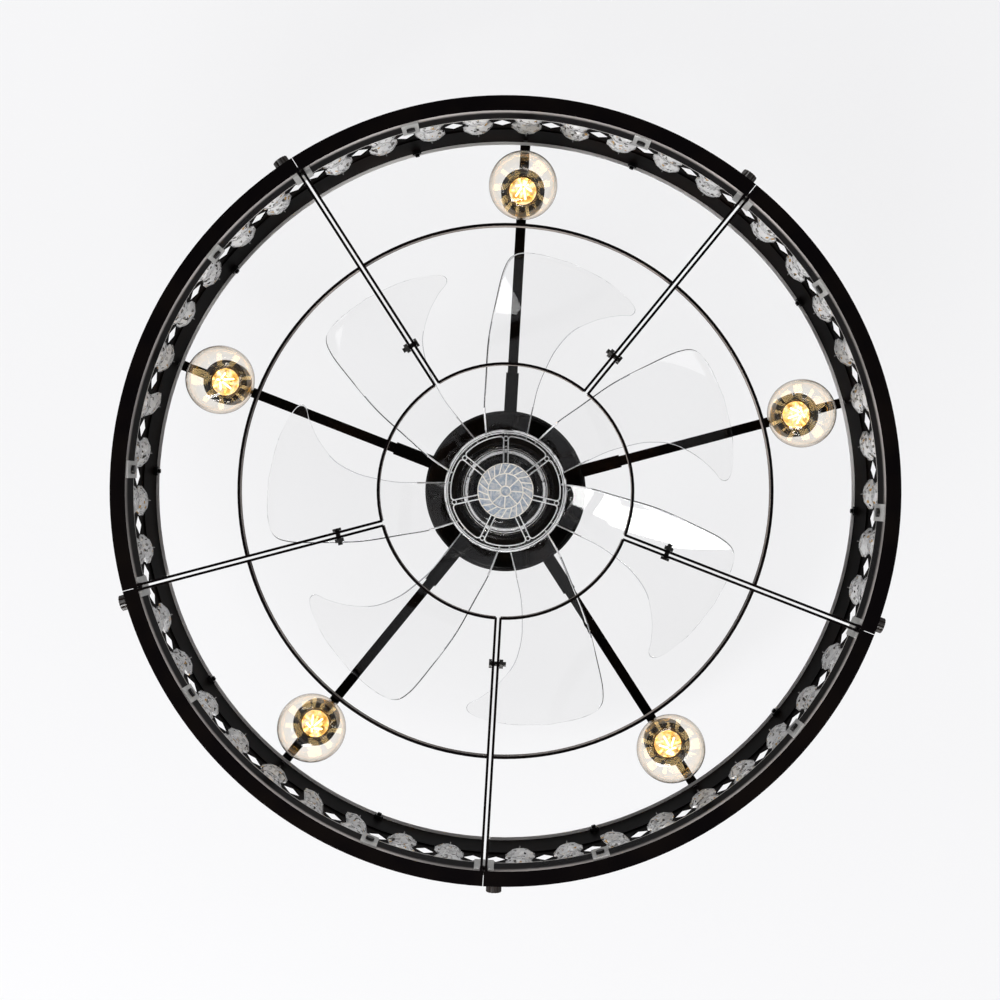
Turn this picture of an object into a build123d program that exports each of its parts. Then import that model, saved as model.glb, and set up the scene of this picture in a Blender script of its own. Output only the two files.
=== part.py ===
# Chandelier ceiling fan: a drum cage of five like bays hung under a ceiling cup, with five globe
# lamps and a clear seven-blade impeller. Millimetres, +Z up, origin on the ceiling at the axis.
# Bay 1's arm points along +Y. Levels are heights above the underside of the cage.

from build123d import *
import math
import os

os.makedirs("parts", exist_ok=True)

# Whole fan
overall_diameter = 500
cage_height = 124
housing_drop = 24
housing_rise = 18
canopy_height = 48
overall_height = cage_height + housing_rise + canopy_height
bay_count = 5
bay_angle = 360 / bay_count
half_bay = bay_angle / 2

# Clearances shared by all pieces
cut_over = 4
seat_gap = 0.1
sheet_gap = 0.15
turning_gap = 0.35
shaft_gap = 0.05
screw_gap = 0.1

# Cage sheet and its ring channel
sheet = 0.8
rim_radius = overall_diameter / 2
flange_width = 9.6
lip_height_share = 0.1935
upstand_height_share = 0.2177
lip_height = lip_height_share * cage_height
upstand_height = upstand_height_share * cage_height
wall_outer = rim_radius - sheet / 2
wall_inner = wall_outer - sheet
skin_outer = wall_inner - sheet_gap
skin_inner = skin_outer - sheet
lip_inner = rim_radius - flange_width
wall_end_gap = 5
flange_end_gap = 0.4

# Upper band
band_height_share = 0.3065
band_height = band_height_share * cage_height
band_low = cage_height - band_height
band_lip = 2.2

# Diamond cut-outs and crystal windows
column_pitch = 7.6
columns_each_side = 4
diamond_width = 15
diamond_height = 18.4
diamond_rise = 14
window_width = 15.4

# Crystals
crystal_inset = 4.05
crystal_radius = skin_inner - crystal_inset
crystal_width = 20
crystal_thickness = 8
crystal_table_width = 10
crystal_row_pitch = 24
crystal_lift = 9.5
lower_crystal_level = lip_height + crystal_lift
crystal_levels = (lower_crystal_level + crystal_row_pitch, lower_crystal_level)
crystal_sides = 8
crystal_sway_angle = 7
turned_crystal_angle = 24
turned_crystals = {(2, 2), (3, -2), (3, -1), (4, -1)}
pin_thickness = 0.9
pin_overlap = 2.6

# Guard strips
strip_thickness = 1.6
strip_height = 8
strip_pair_gap = 1.4
middle_arc_share = 0.674
inner_arc_share = 0.3224
guard_bolt_share = 0.4388
middle_arc_radius = middle_arc_share * rim_radius
inner_arc_radius = inner_arc_share * rim_radius
guard_bolt_radius = guard_bolt_share * rim_radius

# Small screws
shank_radius = 1.5
head_radius = 2.8
head_height = 1.8
nut_height = 2.4
nut_flats = 5.5
screw_level_drop = 7

# Clips on the ring channel
clip_thickness = 1.4
clip_width = 11
seam_clip_width = 12.6
clip_angle = 18
clip_leg_length = 12
clip_depth = 7.3
clip_screw_level = 11

# Arms
arm_side = 7
arm_low = cage_height
arm_level = arm_low + arm_side / 2
arm_tab_thickness = 1.5
arm_tab_drop = 12
arm_screw_length = 4.2
socket_wall = 0.9
socket_length = 29

# Motor housing and canopy
housing_radius = 55
housing_wall = 1.5
housing_low = cage_height - housing_drop
housing_high = cage_height + housing_rise
housing_edge = 3
canopy_overhang = 3
canopy_radius = housing_radius + canopy_overhang
canopy_wall = 1.2
canopy_edge = 2
wire_hole_radius = 9

# Ceiling bracket
bracket_inset = 5
bracket_radius = canopy_radius - bracket_inset
bracket_thickness = 2
ear_width = 16
ear_drop = 14
box_screw_inset = 8.55
box_screw_radius = 2.6
cable_hole_radius = 11
canopy_screw_angle = 55.7
canopy_screw_drop = 8
canopy_screw_count = 4
canopy_screw_length = 5

# Motor
stator_outer = 34.4
stator_inner = 19
stator_length = 16
stator_slots = 12
slot_radius = 3.4
slot_web = 1.2
winding_inner = 25
winding_height = 5
rotor_gap = 0.5
shield_wall = 3
shield_web = 3.5
ear_radius = 4.5
bolt_circle = 38
motor_bolt_count = 4
nose_radius = 31
nose_drop = 5
ridge_radii = (21.5, 25)
ridge_width = 1.4
ridge_drop = 0.9
bearing_outer = 11
bearing_height = 7
boss_wall = 3
shaft_radius = 4
drive_pin_radius = 1.2
drive_pin_length = 13

# Place of the lamps
lamp_inset = 39.4
lamp_drop = 84
lamp_radius = lip_inner - lamp_inset
bulb_level = arm_low - lamp_drop
globe_radius = 22.5

# Impeller
blade_count = 7
blade_turn = -2.8
blade_tip_gap = 18.5
blade_tip = lamp_radius - globe_radius - blade_tip_gap
blade_root_inset = 3.4
blade_slab_inset = 9
blade_thickness = 1.8
blade_camber = 3
hub_radius = 41
hub_wall = 1.8
hub_height = 28
hub_gap = 11
hub_low = housing_low - nose_drop - hub_gap - hub_height
hub_boss_radius = 7.5
hub_boss_drop = 2
hub_boss_height = hub_height - hub_boss_drop
hub_rib_height = 12
hub_rib_thickness = 2.4
hub_ring_radius = 28
hub_ring_height = 9

# Spinner nut
spinner_radius = 18.5
spinner_height = 15
spinner_wall = 1.5
spinner_ring_radius = 11.3
spinner_boss_radius = 6
spinner_rib = 1
spinner_inner_ribs = 8
spinner_outer_ribs = 22
spinner_rib_slant = 28

# Lamps
glass_thickness = 1
neck_radius = 9.8
neck_height = 3.6
base_radius = 7
base_height = 21
base_tip_radius = 3.5
base_tip_height = 3
holder_radius = 14.75
holder_wall = 1.2
holder_cup_depth = 8
holder_height = 28
holder_cone_height = 10
holder_top_radius = 8
nipple_radius = 5

# Thumb screws
thumb_angle = 34.4
thumb_level_share = 0.1613
thumb_level = thumb_level_share * cage_height
thumb_head_radius = 5
thumb_head_length = 8
thumb_shank_radius = 2
thumb_shank_length = 3.4
thumb_flutes = 14
flute_depth = 0.5

# Receiver and terminal block in the canopy
receiver_length = 56
receiver_width = 26
receiver_height = 16
receiver_inset = 27
receiver_offset = bracket_radius - receiver_inset
terminal_length = 34
terminal_width = 14
terminal_height = 11
terminal_inset = 30
terminal_offset = bracket_radius - terminal_inset
terminal_ways = 3


def up(level):
    """Z of a level that is measured up from the underside of the cage."""
    return level - overall_height


def spin(angle):
    """Turn about the fan's axis."""
    return Rot(0, 0, angle)


def ring(inner, outer, low, high):
    """Round plate or tube about the fan's axis between two levels."""
    face = Circle(outer)
    if inner > 0:
        face -= Circle(inner)
    return Pos(0, 0, up(low)) * extrude(face, amount=high - low)


def bay_arc(inner, outer, low, high, half_angle):
    """Part of a ring, half_angle either side of bay 1's arm."""
    middle = Pos((inner + outer) / 2, up((low + high) / 2))
    profile = Plane.XZ * middle * Rectangle(outer - inner, high - low)
    return spin(90 - half_angle) * revolve(profile, axis=Axis.Z, revolution_arc=2 * half_angle)


def block(width, near, far, low, high):
    """Box across the +Y radius, from near to far along it, between two levels."""
    centre = Pos(0, (near + far) / 2, up((low + high) / 2))
    return centre * Box(width, far - near, high - low)


def radial_prism(outline, near, far, level):
    """Outline drawn across the +Y radius at a level and carried outwards along it."""
    across = Plane(origin=(0, near, up(level)), x_dir=(1, 0, 0), z_dir=(0, 1, 0))
    return extrude(across * outline, amount=far - near)


def upright_prism(outline, radius, low, high):
    """Outline drawn at a radius on +Y and carried up between two levels."""
    return Pos(0, radius, up(low)) * extrude(outline, amount=high - low)


def hexagon(flats):
    """Hexagon by its width across flats."""
    return RegularPolygon(radius=flats / 2, side_count=6, major_radius=False)


def octagon(flats):
    """Octagon standing on one of its flats, by its width across flats."""
    turn = 180 / crystal_sides
    return RegularPolygon(radius=flats / 2, side_count=crystal_sides, major_radius=False, rotation=turn)


def angle_of(width, radius):
    """Angle that a width off the middle line covers at a radius."""
    return math.degrees(math.asin(width / radius))


def save(node, shape):
    """Write one node; a list of like solids becomes one group."""
    if isinstance(shape, list):
        shape = Compound(children=shape)
    export_step(shape, "parts/" + node + ".step")


# Outlines of the small screws
head_face = Circle(head_radius)
shank_face = Circle(shank_radius)
screw_hole_face = Circle(shank_radius + screw_gap)
nut_face = hexagon(nut_flats) - screw_hole_face

# Angles of the five bays and of what repeats in one bay
bay_angles = [bay_angle * bay for bay in range(bay_count)]
wall_half_angle = half_bay - angle_of(wall_end_gap / 2, wall_outer)
flange_half_angle = half_bay - angle_of(flange_end_gap / 2, rim_radius)
columns = range(-columns_each_side, columns_each_side + 1)
diamond_angles = [column_pitch * (column - 0.5) for column in columns]
diamond_angles.append(column_pitch * (columns_each_side + 0.5))
fixing_level = cage_height - screw_level_drop
wall_low = sheet + seat_gap

# Wall panel: rolled sheet with a diamond between the crystals and a window behind each one
diamond_corners = [
    (diamond_width / 2, 0),
    (0, diamond_height / 2),
    (-diamond_width / 2, 0),
    (0, -diamond_height / 2),
]
cut_near = skin_inner - cut_over
cut_far = wall_outer + cut_over
wall_panel = bay_arc(wall_inner, wall_outer, wall_low, cage_height, wall_half_angle)
wall_cuts = []
for level in crystal_levels:
    diamond = radial_prism(Polygon(*diamond_corners), cut_near, cut_far, level + diamond_rise)
    window_face = octagon(window_width)
    window = radial_prism(window_face, cut_near, cut_far, level)
    wall_cuts += [spin(angle) * diamond for angle in diamond_angles]
    wall_cuts += [spin(column_pitch * column) * window for column in columns]
screw_hole = radial_prism(screw_hole_face, cut_near, cut_far, fixing_level)
thumb_hole = radial_prism(Circle(thumb_shank_radius + turning_gap), cut_near, cut_far, thumb_level)
fixing_cuts = [screw_hole, spin(clip_angle) * screw_hole, spin(-clip_angle) * screw_hole]
wall_panel -= wall_cuts + fixing_cuts + [spin(thumb_angle) * thumb_hole]

# Upper band: second sheet inside the top of the wall, with a narrow lip turned inwards
band = bay_arc(skin_inner, skin_outer, band_low, cage_height, wall_half_angle)
band += bay_arc(skin_inner - band_lip, skin_inner, cage_height - sheet, cage_height, wall_half_angle)
band -= fixing_cuts

# Guard sector: flat flange with its inner lip and outer upstand, and the strips on edge
flange = bay_arc(lip_inner, rim_radius, 0, sheet, flange_half_angle)
lip = bay_arc(lip_inner, lip_inner + sheet, 0, lip_height, flange_half_angle)
upstand = bay_arc(skin_inner, skin_outer, 0, upstand_height, flange_half_angle)
guard_sector = flange + lip + upstand
strip_middle = (strip_pair_gap + strip_thickness) / 2
for radius in (middle_arc_radius, inner_arc_radius):
    arc_half_angle = half_bay - angle_of(strip_middle, radius)
    inner, outer = radius - strip_thickness / 2, radius + strip_thickness / 2
    guard_sector += bay_arc(inner, outer, 0, strip_height, arc_half_angle)
strip = block(strip_thickness, inner_arc_radius, lip_inner + sheet / 2, 0, strip_height)
guard_sector += spin(half_bay) * Pos(strip_middle, 0, 0) * strip
guard_sector += spin(-half_bay) * Pos(-strip_middle, 0, 0) * strip
across_seam = Pos(0, guard_bolt_radius, up(strip_height / 2)) * Rot(0, 90, 0)
seam_hole = across_seam * Cylinder(shank_radius + screw_gap, strip_pair_gap + 4 * strip_thickness)
clip_hole = radial_prism(screw_hole_face, lip_inner - cut_over, lip_inner + cut_over, clip_screw_level)
guard_sector -= [spin(half_bay) * seam_hole, spin(-half_bay) * seam_hole, spin(thumb_angle) * thumb_hole]
guard_sector -= [spin(clip_angle) * clip_hole, spin(-clip_angle) * clip_hole]

for number, angle in enumerate(bay_angles, start=1):
    save("wall_panel_" + str(number), spin(angle) * wall_panel)
    save("guard_sector_" + str(number), spin(angle) * guard_sector)
save("upper_bands", [spin(angle) * band for angle in bay_angles])

# Band screws: heads outside the wall, nuts and tips standing in from the band
nut_far = skin_inner - seat_gap
nut_near = nut_far - nut_height
band_head_near = wall_outer + seat_gap
band_head = radial_prism(head_face, band_head_near, band_head_near + head_height, fixing_level)
band_shank = radial_prism(shank_face, nut_near - head_height, band_head_near, fixing_level)
band_nut = radial_prism(nut_face, nut_near, nut_far, fixing_level)
fixing_angles = [angle + side * clip_angle for angle in bay_angles for side in (-1, 1)]
band_bolt = band_head + band_shank
save("band_screws", [spin(angle) * piece for angle in fixing_angles for piece in (band_bolt, band_nut)])

# Guard bolts: through each pair of side strips, head on one side and nut on the other
pair_half = strip_pair_gap / 2 + strip_thickness + seat_gap
bolt_face = Pos(0, guard_bolt_radius, up(strip_height / 2)) * Rot(0, 90, 0)
bolt_length = 2 * pair_half + nut_height + head_height
bolt_shank = bolt_face * Pos(0, 0, -pair_half) * extrude(shank_face, amount=bolt_length)
bolt_head = bolt_face * Pos(0, 0, -pair_half - head_height) * extrude(head_face, amount=head_height)
bolt_nut = bolt_face * Pos(0, 0, pair_half) * extrude(nut_face, amount=nut_height)
seam_angles = [angle + half_bay for angle in bay_angles]
guard_bolt = bolt_head + bolt_shank
save("guard_bolts", [spin(angle) * piece for angle in seam_angles for piece in (guard_bolt, bolt_nut)])

# Ring clips: saddles over the lip of the channel, wider ones over the seams
clip_near = lip_inner - seat_gap - clip_thickness
clip_far = clip_near + clip_depth
clip_top = lip_height + seat_gap + clip_thickness


def saddle(width):
    """Saddle of bent strip, inner leg down the lip and outer leg down the upstand."""
    inner_leg = block(width, clip_near, clip_near + clip_thickness, sheet, clip_top)
    bridge = block(width, clip_near, clip_far, clip_top - clip_thickness, clip_top)
    outer_leg = block(width, clip_far - clip_thickness, clip_far, clip_top - clip_leg_length, clip_top)
    return inner_leg + bridge + outer_leg


clip = saddle(clip_width)
clip -= radial_prism(screw_hole_face, clip_near - cut_over, clip_near + cut_over, clip_screw_level)
seam_clip = saddle(seam_clip_width)
notch_width = 2 * (pair_half + seat_gap)
seam_clip -= block(notch_width, clip_near - cut_over, clip_near + cut_over, 0, strip_height + seat_gap)
clip_head_near = clip_near - seat_gap - head_height
clip_screw = radial_prism(head_face, clip_head_near, clip_head_near + head_height, clip_screw_level)
clip_screw_far = lip_inner + sheet + head_height
clip_screw += radial_prism(shank_face, clip_head_near, clip_screw_far, clip_screw_level)
save("ring_clips", [spin(angle) * clip for angle in fixing_angles])
save("seam_clips", [spin(angle) * seam_clip for angle in seam_angles])
save("clip_screws", [spin(angle) * clip_screw for angle in fixing_angles])

# Thumb screws: fluted heads outside the rim, shanks through the wall and the upstand
flute_points = []
for point in range(2 * thumb_flutes):
    reach = thumb_head_radius - flute_depth * (point % 2)
    turn = math.pi * point / thumb_flutes
    flute_points.append((reach * math.cos(turn), reach * math.sin(turn)))
thumb_near = wall_outer + turning_gap
flutes = Polygon(*flute_points, align=None)
thumb = radial_prism(flutes, thumb_near, thumb_near + thumb_head_length, thumb_level)
thumb += radial_prism(Circle(thumb_shank_radius), thumb_near - thumb_shank_length, thumb_near, thumb_level)
for number, angle in enumerate(bay_angles, start=1):
    save("thumb_screw_" + str(number), spin(angle + thumb_angle) * thumb)

# Crystals: octagon beads with bevelled faces, each hanging at its own small turn
bevel_angle = math.degrees(math.atan((crystal_width - crystal_table_width) / crystal_thickness))
girdle = octagon(crystal_width)
bead = extrude(Plane.XZ * girdle, amount=crystal_thickness / 2, both=True, taper=bevel_angle)


def crystal_turn(bay, column, row):
    """Turn of one bead about its own pin."""
    if row == 0 and (bay, column) in turned_crystals:
        return turned_crystal_angle
    return crystal_sway_angle * math.sin(bay * 1.7 + column * 2.3 + row)


def hung(bay, column, piece):
    """Place a piece drawn on the column's own upright line."""
    return spin(bay_angles[bay] + column_pitch * column) * Pos(0, crystal_radius, 0) * piece


places = [(bay, column) for bay in range(bay_count) for column in columns]
for row, node in enumerate(("crystals_upper", "crystals_lower")):
    hang = Pos(0, 0, up(crystal_levels[row]))
    beads = []
    for bay, column in places:
        turned = Rot(0, 0, crystal_turn(bay, column, row)) * bead
        beads.append(hung(bay, column, hang * turned))
    save(node, beads)

# Crystal pins: a hook from the band down to each upper bead, and a link between the two beads
bead_top = up(crystal_levels[0] + crystal_width / 2 + seat_gap)
pin_rise = up(band_low + pin_overlap) - bead_top
link_low = up(crystal_levels[1] + crystal_width / 2 + seat_gap)
link_high = up(crystal_levels[0] - crystal_width / 2 - seat_gap)
hook_reach = skin_inner - seat_gap - crystal_radius
hook_leg = Pos(0, 0, bead_top + pin_rise / 2) * Box(pin_thickness, pin_thickness, pin_rise)
hook_arm_z = bead_top + pin_rise - pin_thickness / 2
hook_arm = Pos(0, hook_reach / 2, hook_arm_z) * Box(pin_thickness, hook_reach, pin_thickness)
link = Pos(0, 0, (link_low + link_high) / 2) * Box(pin_thickness, pin_thickness, link_high - link_low)
hook = hook_leg + hook_arm
save("crystal_pins", [hung(bay, column, piece) for bay, column in places for piece in (hook, link)])

# Arms: square bars in the housing's sockets, with a tab over the outside of the wall
arm_near = housing_radius - housing_wall
tab_near = wall_outer + sheet_gap
tab_far = tab_near + arm_tab_thickness
arm = block(arm_side, arm_near, tab_far, arm_low, arm_low + arm_side)
arm += block(arm_side, tab_near, tab_far, arm_low - arm_tab_drop, arm_low + arm_side)
arm -= radial_prism(screw_hole_face, tab_near - cut_over, tab_far + cut_over, fixing_level)
socket_bore = arm_side + 2 * seat_gap
socket_side = socket_bore + 2 * socket_wall
socket_screw_radius = housing_radius + socket_length / 2
socket_top = arm_level + socket_side / 2
socket_screw_low = socket_top + seat_gap - arm_screw_length
arm_hole_low = socket_screw_low - seat_gap
arm_hole_high = arm_low + arm_side + cut_over
arm -= upright_prism(screw_hole_face, socket_screw_radius, arm_hole_low, arm_hole_high)
for number, angle in enumerate(bay_angles, start=1):
    save("arm_" + str(number), spin(angle) * arm)

# Arm screws: one through each tab and one down through each socket
outer_seat = tab_far + seat_gap
inner_seat = socket_top + seat_gap
outer_head = radial_prism(head_face, outer_seat, outer_seat + head_height, fixing_level)
outer_shank = radial_prism(shank_face, outer_seat - arm_screw_length, outer_seat, fixing_level)
inner_head = upright_prism(head_face, socket_screw_radius, inner_seat, inner_seat + head_height)
inner_shank = upright_prism(shank_face, socket_screw_radius, socket_screw_low, inner_seat)
arm_screws = (outer_head + outer_shank, inner_head + inner_shank)
save("arm_screws", [spin(angle) * screw for angle in bay_angles for screw in arm_screws])

# Motor housing: spun cup with a rounded lower edge and a square hole for each arm
housing = ring(0, housing_radius, housing_low, housing_high)
housing = fillet(housing.edges().group_by(Axis.Z)[0], radius=housing_edge)
housing -= ring(0, housing_radius - housing_wall, housing_low + housing_wall, housing_high + cut_over)
housing -= ring(0, nose_radius + seat_gap, housing_low - cut_over, housing_low + housing_wall + cut_over)
socket_far = housing_radius + socket_length
socket_low = arm_level - socket_side / 2
arm_socket = block(socket_side, housing_radius + seat_gap, socket_far, socket_low, socket_top)
bore_low = arm_level - socket_bore / 2
arm_bore = block(socket_bore, arm_near - cut_over, socket_far + cut_over, bore_low, bore_low + socket_bore)
screw_bore = upright_prism(screw_hole_face, socket_screw_radius, arm_level, socket_top + cut_over)
motor_bolt_angles = [360 / motor_bolt_count * (bolt + 0.5) for bolt in range(motor_bolt_count)]
bolt_hole_high = housing_high + canopy_wall + cut_over
bolt_hole = upright_prism(screw_hole_face, bolt_circle, housing_low - cut_over, bolt_hole_high)
housing -= [spin(angle) * arm_bore for angle in bay_angles]
housing -= [spin(angle) * bolt_hole for angle in motor_bolt_angles]
save("motor_housing", housing)
arm_socket -= [arm_bore, screw_bore]
save("arm_sockets", [spin(angle) * arm_socket for angle in bay_angles])

# Canopy: cup open to the ceiling, its floor bolted to the motor
canopy = ring(0, canopy_radius, housing_high, overall_height)
canopy = fillet(canopy.edges().group_by(Axis.Z)[0], radius=canopy_edge)
canopy -= ring(0, canopy_radius - canopy_wall, housing_high + canopy_wall, overall_height + cut_over)
canopy -= ring(0, wire_hole_radius, housing_high - cut_over, housing_high + canopy_wall + cut_over)
canopy -= [spin(angle) * bolt_hole for angle in motor_bolt_angles]
side_screw_level = overall_height - canopy_screw_drop
side_hole_near = bracket_radius - cut_over
side_hole = radial_prism(screw_hole_face, side_hole_near, canopy_radius + cut_over, side_screw_level)
side_angles = [canopy_screw_angle + 360 / canopy_screw_count * screw for screw in range(canopy_screw_count)]
canopy -= [spin(angle) * side_hole for angle in side_angles]
save("canopy", canopy)

# Ceiling bracket: round plate with four ears turned down inside the canopy
ear_far = canopy_radius - canopy_wall - seat_gap
ear_outer = math.sqrt(ear_far ** 2 - (ear_width / 2) ** 2)
bracket = ring(0, bracket_radius, overall_height - bracket_thickness, overall_height)
ear = block(ear_width, ear_outer - bracket_thickness, ear_outer, overall_height - ear_drop, overall_height)
bracket_low = overall_height - bracket_thickness
ear += block(ear_width, bracket_radius - cut_over, ear_outer, bracket_low, overall_height)
for angle in side_angles:
    bracket += spin(angle) * ear
bracket -= [spin(angle) * side_hole for angle in side_angles]
bracket -= ring(0, cable_hole_radius, overall_height - cut_over, overall_height + cut_over)
box_hole = Pos(bracket_radius - box_screw_inset, 0, 0) * Cylinder(box_screw_radius, 2 * cut_over)
bracket -= [box_hole, spin(180) * box_hole]
save("ceiling_bracket", bracket)

# Canopy screws: through the canopy's side into the bracket's ears
side_seat = canopy_radius + seat_gap
side_head = radial_prism(head_face, side_seat, side_seat + head_height, side_screw_level)
side_shank = radial_prism(shank_face, canopy_radius - canopy_screw_length, side_seat, side_screw_level)
save("canopy_screws", [spin(angle) * (side_head + side_shank) for angle in side_angles])

# Receiver box and terminal block hung under the bracket
receiver = Box(receiver_length, receiver_width, receiver_height)
receiver = fillet(receiver.edges().filter_by(Axis.Z), radius=canopy_edge)
receiver_level = overall_height - bracket_thickness - seat_gap - receiver_height / 2
save("receiver_box", Pos(0, receiver_offset, up(receiver_level)) * receiver)
terminal = Box(terminal_length, terminal_width, terminal_height)
way = terminal_length / terminal_ways
for number in range(terminal_ways):
    well = Cylinder(way / 4, terminal_height / 2, align=(Align.CENTER, Align.CENTER, Align.MAX))
    terminal -= Pos(way * (number - (terminal_ways - 1) / 2), 0, 0) * well
terminal_level = overall_height - bracket_thickness - seat_gap - terminal_height / 2
save("terminal_block", Pos(0, -terminal_offset, up(terminal_level)) * terminal)

# Motor end shields: cast cups with four bolt ears and a bearing boss each
shield_outer = stator_outer + seat_gap + shield_wall
shield_low = housing_low + housing_wall
shield_split = (shield_low + housing_high) / 2
shield_cavity = stator_outer + seat_gap
boss_radius = bearing_outer + boss_wall
shaft_hole = shaft_radius + turning_gap
ears = [spin(angle) * Pos(0, bolt_circle) * Circle(ear_radius) for angle in motor_bolt_angles]
bolt_holes = [spin(angle) * bolt_hole for angle in motor_bolt_angles]
shield_plan = Circle(shield_outer)
for ear_face in ears:
    shield_plan += ear_face
upper_shield = Pos(0, 0, up(shield_split)) * extrude(shield_plan, amount=housing_high - shield_split)
upper_web = housing_high - shield_web
upper_shield -= ring(0, shield_cavity, shield_split - cut_over, upper_web)
upper_shield += ring(0, boss_radius, upper_web - bearing_height - seat_gap, housing_high)
upper_shield -= ring(0, bearing_outer + shaft_gap, upper_web - bearing_height - cut_over, upper_web)
upper_shield -= bolt_holes
save("motor_upper_shield", upper_shield)

nose_low = housing_low - nose_drop
nose_floor = nose_low + shield_web
lower_shield = Pos(0, 0, up(shield_low)) * extrude(shield_plan, amount=shield_split - shield_low)
lower_shield += ring(0, nose_radius, nose_low, shield_low)
lower_shield = fillet(lower_shield.edges().group_by(Axis.Z)[0], radius=canopy_edge)
lower_shield -= ring(0, shield_cavity, shield_low + shield_web, shield_split + cut_over)
lower_shield -= ring(0, nose_radius - shield_wall, nose_floor, shield_split)
lower_shield += ring(0, boss_radius, nose_floor - seat_gap, nose_floor + bearing_height)
lower_shield -= ring(0, bearing_outer + shaft_gap, nose_floor, shield_split)
for radius in ridge_radii:
    lower_shield += ring(radius, radius + ridge_width, nose_low - ridge_drop, nose_low + seat_gap)
lower_shield -= ring(0, shaft_hole, nose_low - cut_over, nose_floor + cut_over)
lower_shield -= bolt_holes
save("motor_lower_shield", lower_shield)

# Motor bolts: long bolts from under the housing through both shields into the canopy's floor
motor_bolt_low = housing_low - seat_gap
floor = housing_high + canopy_wall
motor_bolt = upright_prism(head_face, bolt_circle, motor_bolt_low - head_height, motor_bolt_low)
motor_bolt += upright_prism(shank_face, bolt_circle, motor_bolt_low, floor + nut_height + head_height)
motor_nut = upright_prism(nut_face, bolt_circle, floor + seat_gap, floor + seat_gap + nut_height)
motor_fixing = (motor_bolt, motor_nut)
save("motor_bolts", [spin(angle) * piece for angle in motor_bolt_angles for piece in motor_fixing])

# Stator core with its ring of round slots, and its two winding heads
stator_level = (shield_low + shield_web + upper_web) / 2
stator_low = stator_level - stator_length / 2
stator_high = stator_level + stator_length / 2
stator = ring(stator_inner, stator_outer, stator_low, stator_high)
slot_middle = stator_inner + slot_web + slot_radius
slot = upright_prism(Circle(slot_radius), slot_middle, stator_low - cut_over, stator_high + cut_over)
stator -= [spin(360 / stator_slots * number) * slot for number in range(stator_slots)]
save("stator_core", stator)
winding_outer = stator_outer - shield_wall
under = stator_low - seat_gap
over = stator_high + seat_gap
lower_winding = ring(winding_inner, winding_outer, under - winding_height, under)
upper_winding = ring(winding_inner, winding_outer, over, over + winding_height)
save("stator_windings", [lower_winding, upper_winding])

# Rotor core, shaft, bearings and drive pin
shaft_low = hub_low - spinner_height + 2 * spinner_wall
shaft_high = upper_web - turning_gap
rotor_outer = stator_inner - rotor_gap
save("rotor_core", ring(shaft_radius + seat_gap / 2, rotor_outer, stator_low, stator_high))
pin_level = hub_low + hub_boss_height - 2 * drive_pin_radius
cross = spin(blade_turn) * Pos(0, 0, up(pin_level)) * Rot(0, 90, 0)
shaft = ring(0, shaft_radius, shaft_low, shaft_high)
shaft -= cross * Cylinder(drive_pin_radius + seat_gap / 2, 2 * shaft_radius + cut_over)
save("motor_shaft", shaft)
save("drive_pin", cross * Cylinder(drive_pin_radius, drive_pin_length))
bearing_inner = shaft_radius + shaft_gap
upper_bearing_high = upper_web - seat_gap
lower_bearing_low = nose_floor + seat_gap
upper_bearing_low = upper_bearing_high - bearing_height
lower_bearing_high = lower_bearing_low + bearing_height
save("upper_bearing", ring(bearing_inner, bearing_outer, upper_bearing_low, upper_bearing_high))
save("lower_bearing", ring(bearing_inner, bearing_outer, lower_bearing_low, lower_bearing_high))

# Impeller blade: dished, twisted slab. Each station is the share of the tip radius along the
# blade, the middle of the chord and half the chord as shares of the tip radius, the pitch angle
# and the rise of the middle above the hub's foot as a share of the hub's height.
slab_near_share = (hub_radius - blade_slab_inset) / blade_tip
blade_station_shares = [
    (slab_near_share, -0.050, 0.150, 41, 0.48),
    (0.45, 0.020, 0.160, 30, 0.46),
    (0.72, 0.070, 0.210, 22, 0.42),
    (1.04, 0.130, 0.330, 15, 0.40),
]
# Plan outline of a blade: share of the tip radius and degrees from the blade's own rib
root_share = (hub_radius - blade_root_inset) / blade_tip
blade_outline_shares = [
    (root_share, -21.0), (0.350, -15.5), (0.462, -11.0), (0.629, -7.1), (0.782, -3.6), (0.922, -0.9),
    (0.984, 1.8), (1.000, 7.0), (1.000, 15.0), (0.990, 24.0), (0.975, 31.0), (0.955, 34.9),
    (0.924, 35.2), (0.890, 32.4), (0.825, 27.7), (0.737, 22.6), (0.639, 19.4), (0.552, 18.0),
    (0.460, 17.2), (0.359, 18.4), (root_share, 22.0),
]
blade_lean = 12


def blade_section(station):
    """Thin curved section of the blade slab, square to the blade's length."""
    along, middle, half_chord, pitch, rise = station
    centre_x = -middle * blade_tip
    half = half_chord * blade_tip
    lift = half * math.tan(math.radians(pitch))
    centre_z = up(hub_low + rise * hub_height)
    skin = blade_thickness / 2
    top = [(centre_x + half, centre_z - lift + skin), (centre_x, centre_z + blade_camber + skin)]
    top.append((centre_x - half, centre_z + lift + skin))
    foot = [(x, z - blade_thickness) for x, z in top]
    edge = ThreePointArc(*top) + Line(top[2], foot[2])
    edge = edge + ThreePointArc(*reversed(foot)) + Line(foot[0], top[0])
    return Plane(origin=(0, along * blade_tip, 0), x_dir=(1, 0, 0), z_dir=(0, -1, 0)) * make_face(edge)


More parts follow.
